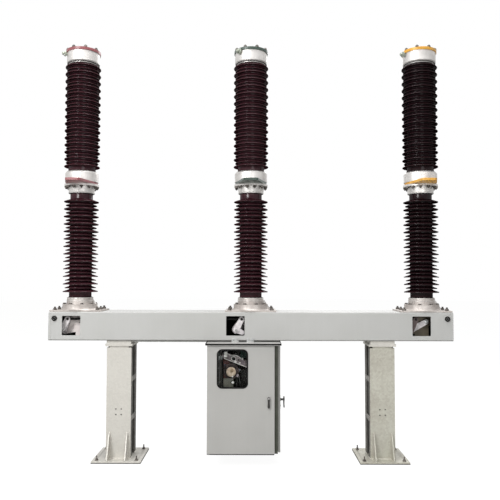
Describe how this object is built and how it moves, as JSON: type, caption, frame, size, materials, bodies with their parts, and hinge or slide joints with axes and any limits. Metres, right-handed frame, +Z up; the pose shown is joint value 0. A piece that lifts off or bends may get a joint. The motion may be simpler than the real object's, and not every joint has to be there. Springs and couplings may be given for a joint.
{
  "type": "gas insulated live tank circuit breaker",
  "caption": "Outdoor high-voltage circuit breaker: ribbed insulator columns on a box beam with two braced legs and a spring mechanism cabinet slung below.",
  "frame": {"origin": "on the foundation, midway between the two legs and centred on the beam's depth", "axes": "+X along the beam to the right-hand pole seen from the cabinet's front door, +Y to the rear, +Z up"},
  "size_m": [3.91, 0.768, 4.068],
  "materials": {
    "beam_paint": "satin grey paint",
    "cabinet_paint": "satin grey paint",
    "galvanised_steel": "hot-dip galvanised, matt",
    "cast_aluminium": "sand-cast, satin",
    "brown_porcelain": "glossy brown glaze",
    "phase_red": "gloss paint",
    "phase_green": "gloss paint",
    "phase_yellow": "gloss paint",
    "zinc_steel": "zinc plated",
    "dark_steel": "black oxide",
    "window_glass": "clear",
    "handle_metal": "satin chrome",
    "bronze": "turned"
  },
  "bodies": {
    "frame": {"leg_front_channel_left": "galvanised_steel", "leg_rear_channel_left": "galvanised_steel", "leg_base_left": "galvanised_steel", "leg_front_channel_right": "galvanised_steel", "leg_rear_channel_right": "galvanised_steel", "leg_base_right": "galvanised_steel", "leg_caps": "galvanised_steel", "leg_battens": "galvanised_steel", "beam_front_plate": "beam_paint", "beam_rear_plate": "beam_paint", "beam_top_plate": "beam_paint", "beam_bottom_plate": "beam_paint", "beam_end_covers": "beam_paint", "lifting_pins": "dark_steel", "cable_duct": "galvanised_steel", "pole_base_left": "cast_aluminium", "support_insulator_left": "brown_porcelain", "support_cap_left": "cast_aluminium", "lower_terminal_left": "phase_red", "lower_housing_left": "cast_aluminium", "interrupter_insulator_left": "brown_porcelain", "top_housing_left": "cast_aluminium", "top_cover_left": "phase_red", "pole_base_middle": "cast_aluminium", "support_insulator_middle": "brown_porcelain", "support_cap_middle": "cast_aluminium", "lower_terminal_middle": "phase_green", "lower_housing_middle": "cast_aluminium", "interrupter_insulator_middle": "brown_porcelain", "top_housing_middle": "cast_aluminium", "top_cover_middle": "phase_green", "pole_base_right": "cast_aluminium", "support_insulator_right": "brown_porcelain", "support_cap_right": "cast_aluminium", "lower_terminal_right": "phase_yellow", "lower_housing_right": "cast_aluminium", "interrupter_insulator_right": "brown_porcelain", "top_housing_right": "cast_aluminium", "top_cover_right": "phase_yellow", "cabinet_walls": "cabinet_paint", "cabinet_floor": "cabinet_paint", "cabinet_front_frame": "cabinet_paint", "cabinet_side_frame": "cabinet_paint", "cabinet_roof": "cabinet_paint", "cabinet_hangers": "galvanised_steel", "door_hinge_pins": "zinc_steel", "mechanism_frame": "dark_steel", "mechanism_cam": "bronze", "mechanism_brace": "cast_aluminium"},
    "lever_left": {"crank_lever_left": "cast_aluminium"},
    "lever_middle": {"crank_lever_middle": "cast_aluminium"},
    "lever_right": {"crank_lever_right": "cast_aluminium"},
    "phase_link": {"phase_rod": "dark_steel"},
    "drive_link": {"drive_rod": "zinc_steel"},
    "output_arm": {"output_lever": "cast_aluminium"},
    "front_door_leaf": {"front_door": "cabinet_paint", "door_window": "window_glass"},
    "front_lock": {"front_handle": "handle_metal"},
    "side_door_leaf": {"side_door": "cabinet_paint"},
    "side_lock": {"side_handle": "handle_metal"}
  },
  "joints": [
    {"name": "front_door_hinge", "type": "hinge", "parent": "frame", "child": "front_door_leaf", "pos_m": [-0.39, -0.365, 0.63], "axis": [0, 0, -1], "range_deg": [0, 120]},
    {"name": "front_handle_turn", "type": "hinge", "parent": "front_door_leaf", "child": "front_lock", "pos_m": [0.17, -0.391, 0.646], "axis": [0, 1, 0], "range_deg": [0, 90]},
    {"name": "side_door_hinge", "type": "hinge", "parent": "frame", "child": "side_door_leaf", "pos_m": [0.27, 0.337, 0.63], "axis": [0, 0, 1], "range_deg": [0, 120]},
    {"name": "side_handle_turn", "type": "hinge", "parent": "side_door_leaf", "child": "side_lock", "pos_m": [0.318, -0.245, 0.611], "axis": [1, 0, 0], "range_deg": [0, 90]},
    {"name": "crank_turn", "type": "hinge", "parent": "frame", "child": "lever_middle", "pos_m": [-0.14, -0.06, 1.25], "axis": [0, 1, 0], "range_deg": [0, 40]},
    {"name": "left_crank_turn", "type": "hinge", "parent": "frame", "child": "lever_left", "pos_m": [-1.84, -0.06, 1.25], "axis": [0, 1, 0], "range_deg": [-1, 41]},
    {"name": "right_crank_turn", "type": "hinge", "parent": "frame", "child": "lever_right", "pos_m": [1.56, -0.06, 1.25], "axis": [0, 1, 0], "range_deg": [-1, 41]},
    {"name": "output_turn", "type": "hinge", "parent": "frame", "child": "output_arm", "pos_m": [-0.14, -0.06, 1], "axis": [0, 1, 0], "range_deg": [-1, 41]},
    {"name": "phase_rod_pivot", "type": "hinge", "parent": "lever_middle", "child": "phase_link", "pos_m": [-0.08827, -0.06, 1.35606], "axis": [0, 1, 0], "range_deg": [-41, 1]},
    {"name": "drive_rod_pivot", "type": "hinge", "parent": "lever_middle", "child": "drive_link", "pos_m": [-0.07234, -0.06, 1.27462], "axis": [0, 1, 0], "range_deg": [-41, 1]}
  ],
  "couplings": [
    {"joint": "left_crank_turn", "follows": "crank_turn", "ratio": 1},
    {"joint": "right_crank_turn", "follows": "crank_turn", "ratio": 1},
    {"joint": "output_turn", "follows": "crank_turn", "ratio": 1},
    {"joint": "phase_rod_pivot", "follows": "crank_turn", "ratio": -1},
    {"joint": "drive_rod_pivot", "follows": "crank_turn", "ratio": -1}
  ]
}
